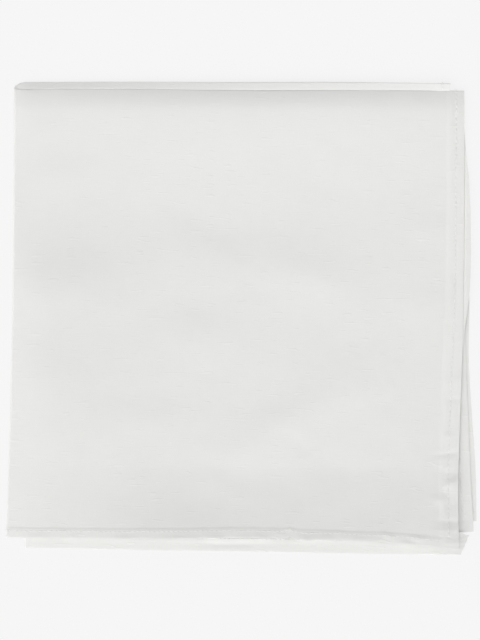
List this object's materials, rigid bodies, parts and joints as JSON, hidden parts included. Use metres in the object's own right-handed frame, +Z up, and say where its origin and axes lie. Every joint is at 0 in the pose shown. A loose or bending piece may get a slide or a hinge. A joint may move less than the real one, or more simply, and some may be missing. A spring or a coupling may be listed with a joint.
{
  "type": "cotton handkerchief",
  "caption": "Plain white woven cotton handkerchief with stitched hems, lying folded in quarters with its loose corners together.",
  "frame": {"origin": "centre of the folded packet's outline, on the surface that it lies on", "axes": "+Z up, out of the face that shows; +Y towards the first fold; +X towards the open side with the hems; the second fold is on the -X side"},
  "size_m": [0.2216, 0.2237, 0.0068],
  "materials": {
    "white_cotton": "matt plain-weave white cotton with faint slubs along the weft, hems turned under and machine stitched in white"
  },
  "bodies": {
    "root": {"handkerchief_cloth": "white_cotton"}
  },
  "joints": []
}
